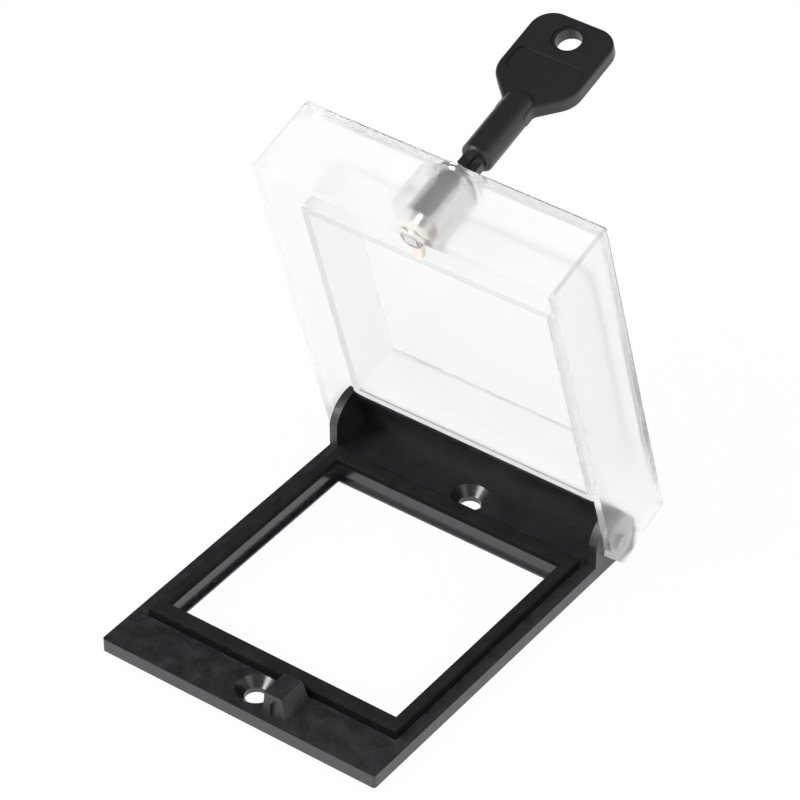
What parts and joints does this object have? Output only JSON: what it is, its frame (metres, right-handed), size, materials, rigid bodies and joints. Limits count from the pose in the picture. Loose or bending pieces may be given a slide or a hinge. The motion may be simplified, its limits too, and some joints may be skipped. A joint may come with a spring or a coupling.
{
  "type": "lockable transparent cover",
  "caption": "Hinged clear cover with a key lock, on a black rectangular frame with a sealed window, for a panel instrument.",
  "frame": {"origin": "centre of the window and of the two screw holes, on the face that lies on the panel", "axes": "+X along the hinge to the hook's side of the lock, +Y from the lock to the hinge, +Z out of the panel"},
  "size_m": [0.064, 0.1044, 0.0894],
  "materials": {
    "black_plastic": "moulded, fine satin",
    "gasket_rubber": "matte foam rubber",
    "clear_plastic": "clear face, lightly frosted sides",
    "lock_metal": "cast and tumbled",
    "wafer_brass": "stamped",
    "spring_steel": "drawn wire and strip",
    "cam_plastic": "natural moulded",
    "key_plastic": "satin moulded"
  },
  "bodies": {
    "base": {"base_frame": "black_plastic", "window_gasket": "gasket_rubber"},
    "lid": {"clear_lid": "clear_plastic", "lock_barrel": "lock_metal"},
    "plug": {"lock_plug": "lock_metal", "lock_cam": "cam_plastic", "wafer_1": "wafer_brass", "wafer_2": "wafer_brass", "wafer_3": "wafer_brass", "wafer_4": "wafer_brass", "wafer_5": "wafer_brass", "wafer_spring_1": "spring_steel", "wafer_spring_2": "spring_steel", "wafer_spring_3": "spring_steel", "wafer_spring_4": "spring_steel", "wafer_spring_5": "spring_steel", "cam_clip": "spring_steel"},
    "key": {"key": "key_plastic"}
  },
  "joints": [
    {"name": "lid_hinge", "type": "hinge", "parent": "base", "child": "lid", "pos_m": [0, 0.03575, 0.00497], "axis": [-1, 0, 0], "range_deg": [-73.4, 19.6]},
    {"name": "lock_turn", "type": "hinge", "parent": "lid", "child": "plug", "pos_m": [-0.0005, 0.01548, 0.07296], "axis": [0, 0.9583, 0.2857], "range_deg": [-62, 0]},
    {"name": "key_withdraw", "type": "slide", "parent": "plug", "child": "key", "axis": [0, 0.9583, 0.2857], "range_m": [0, 0.012]}
  ]
}
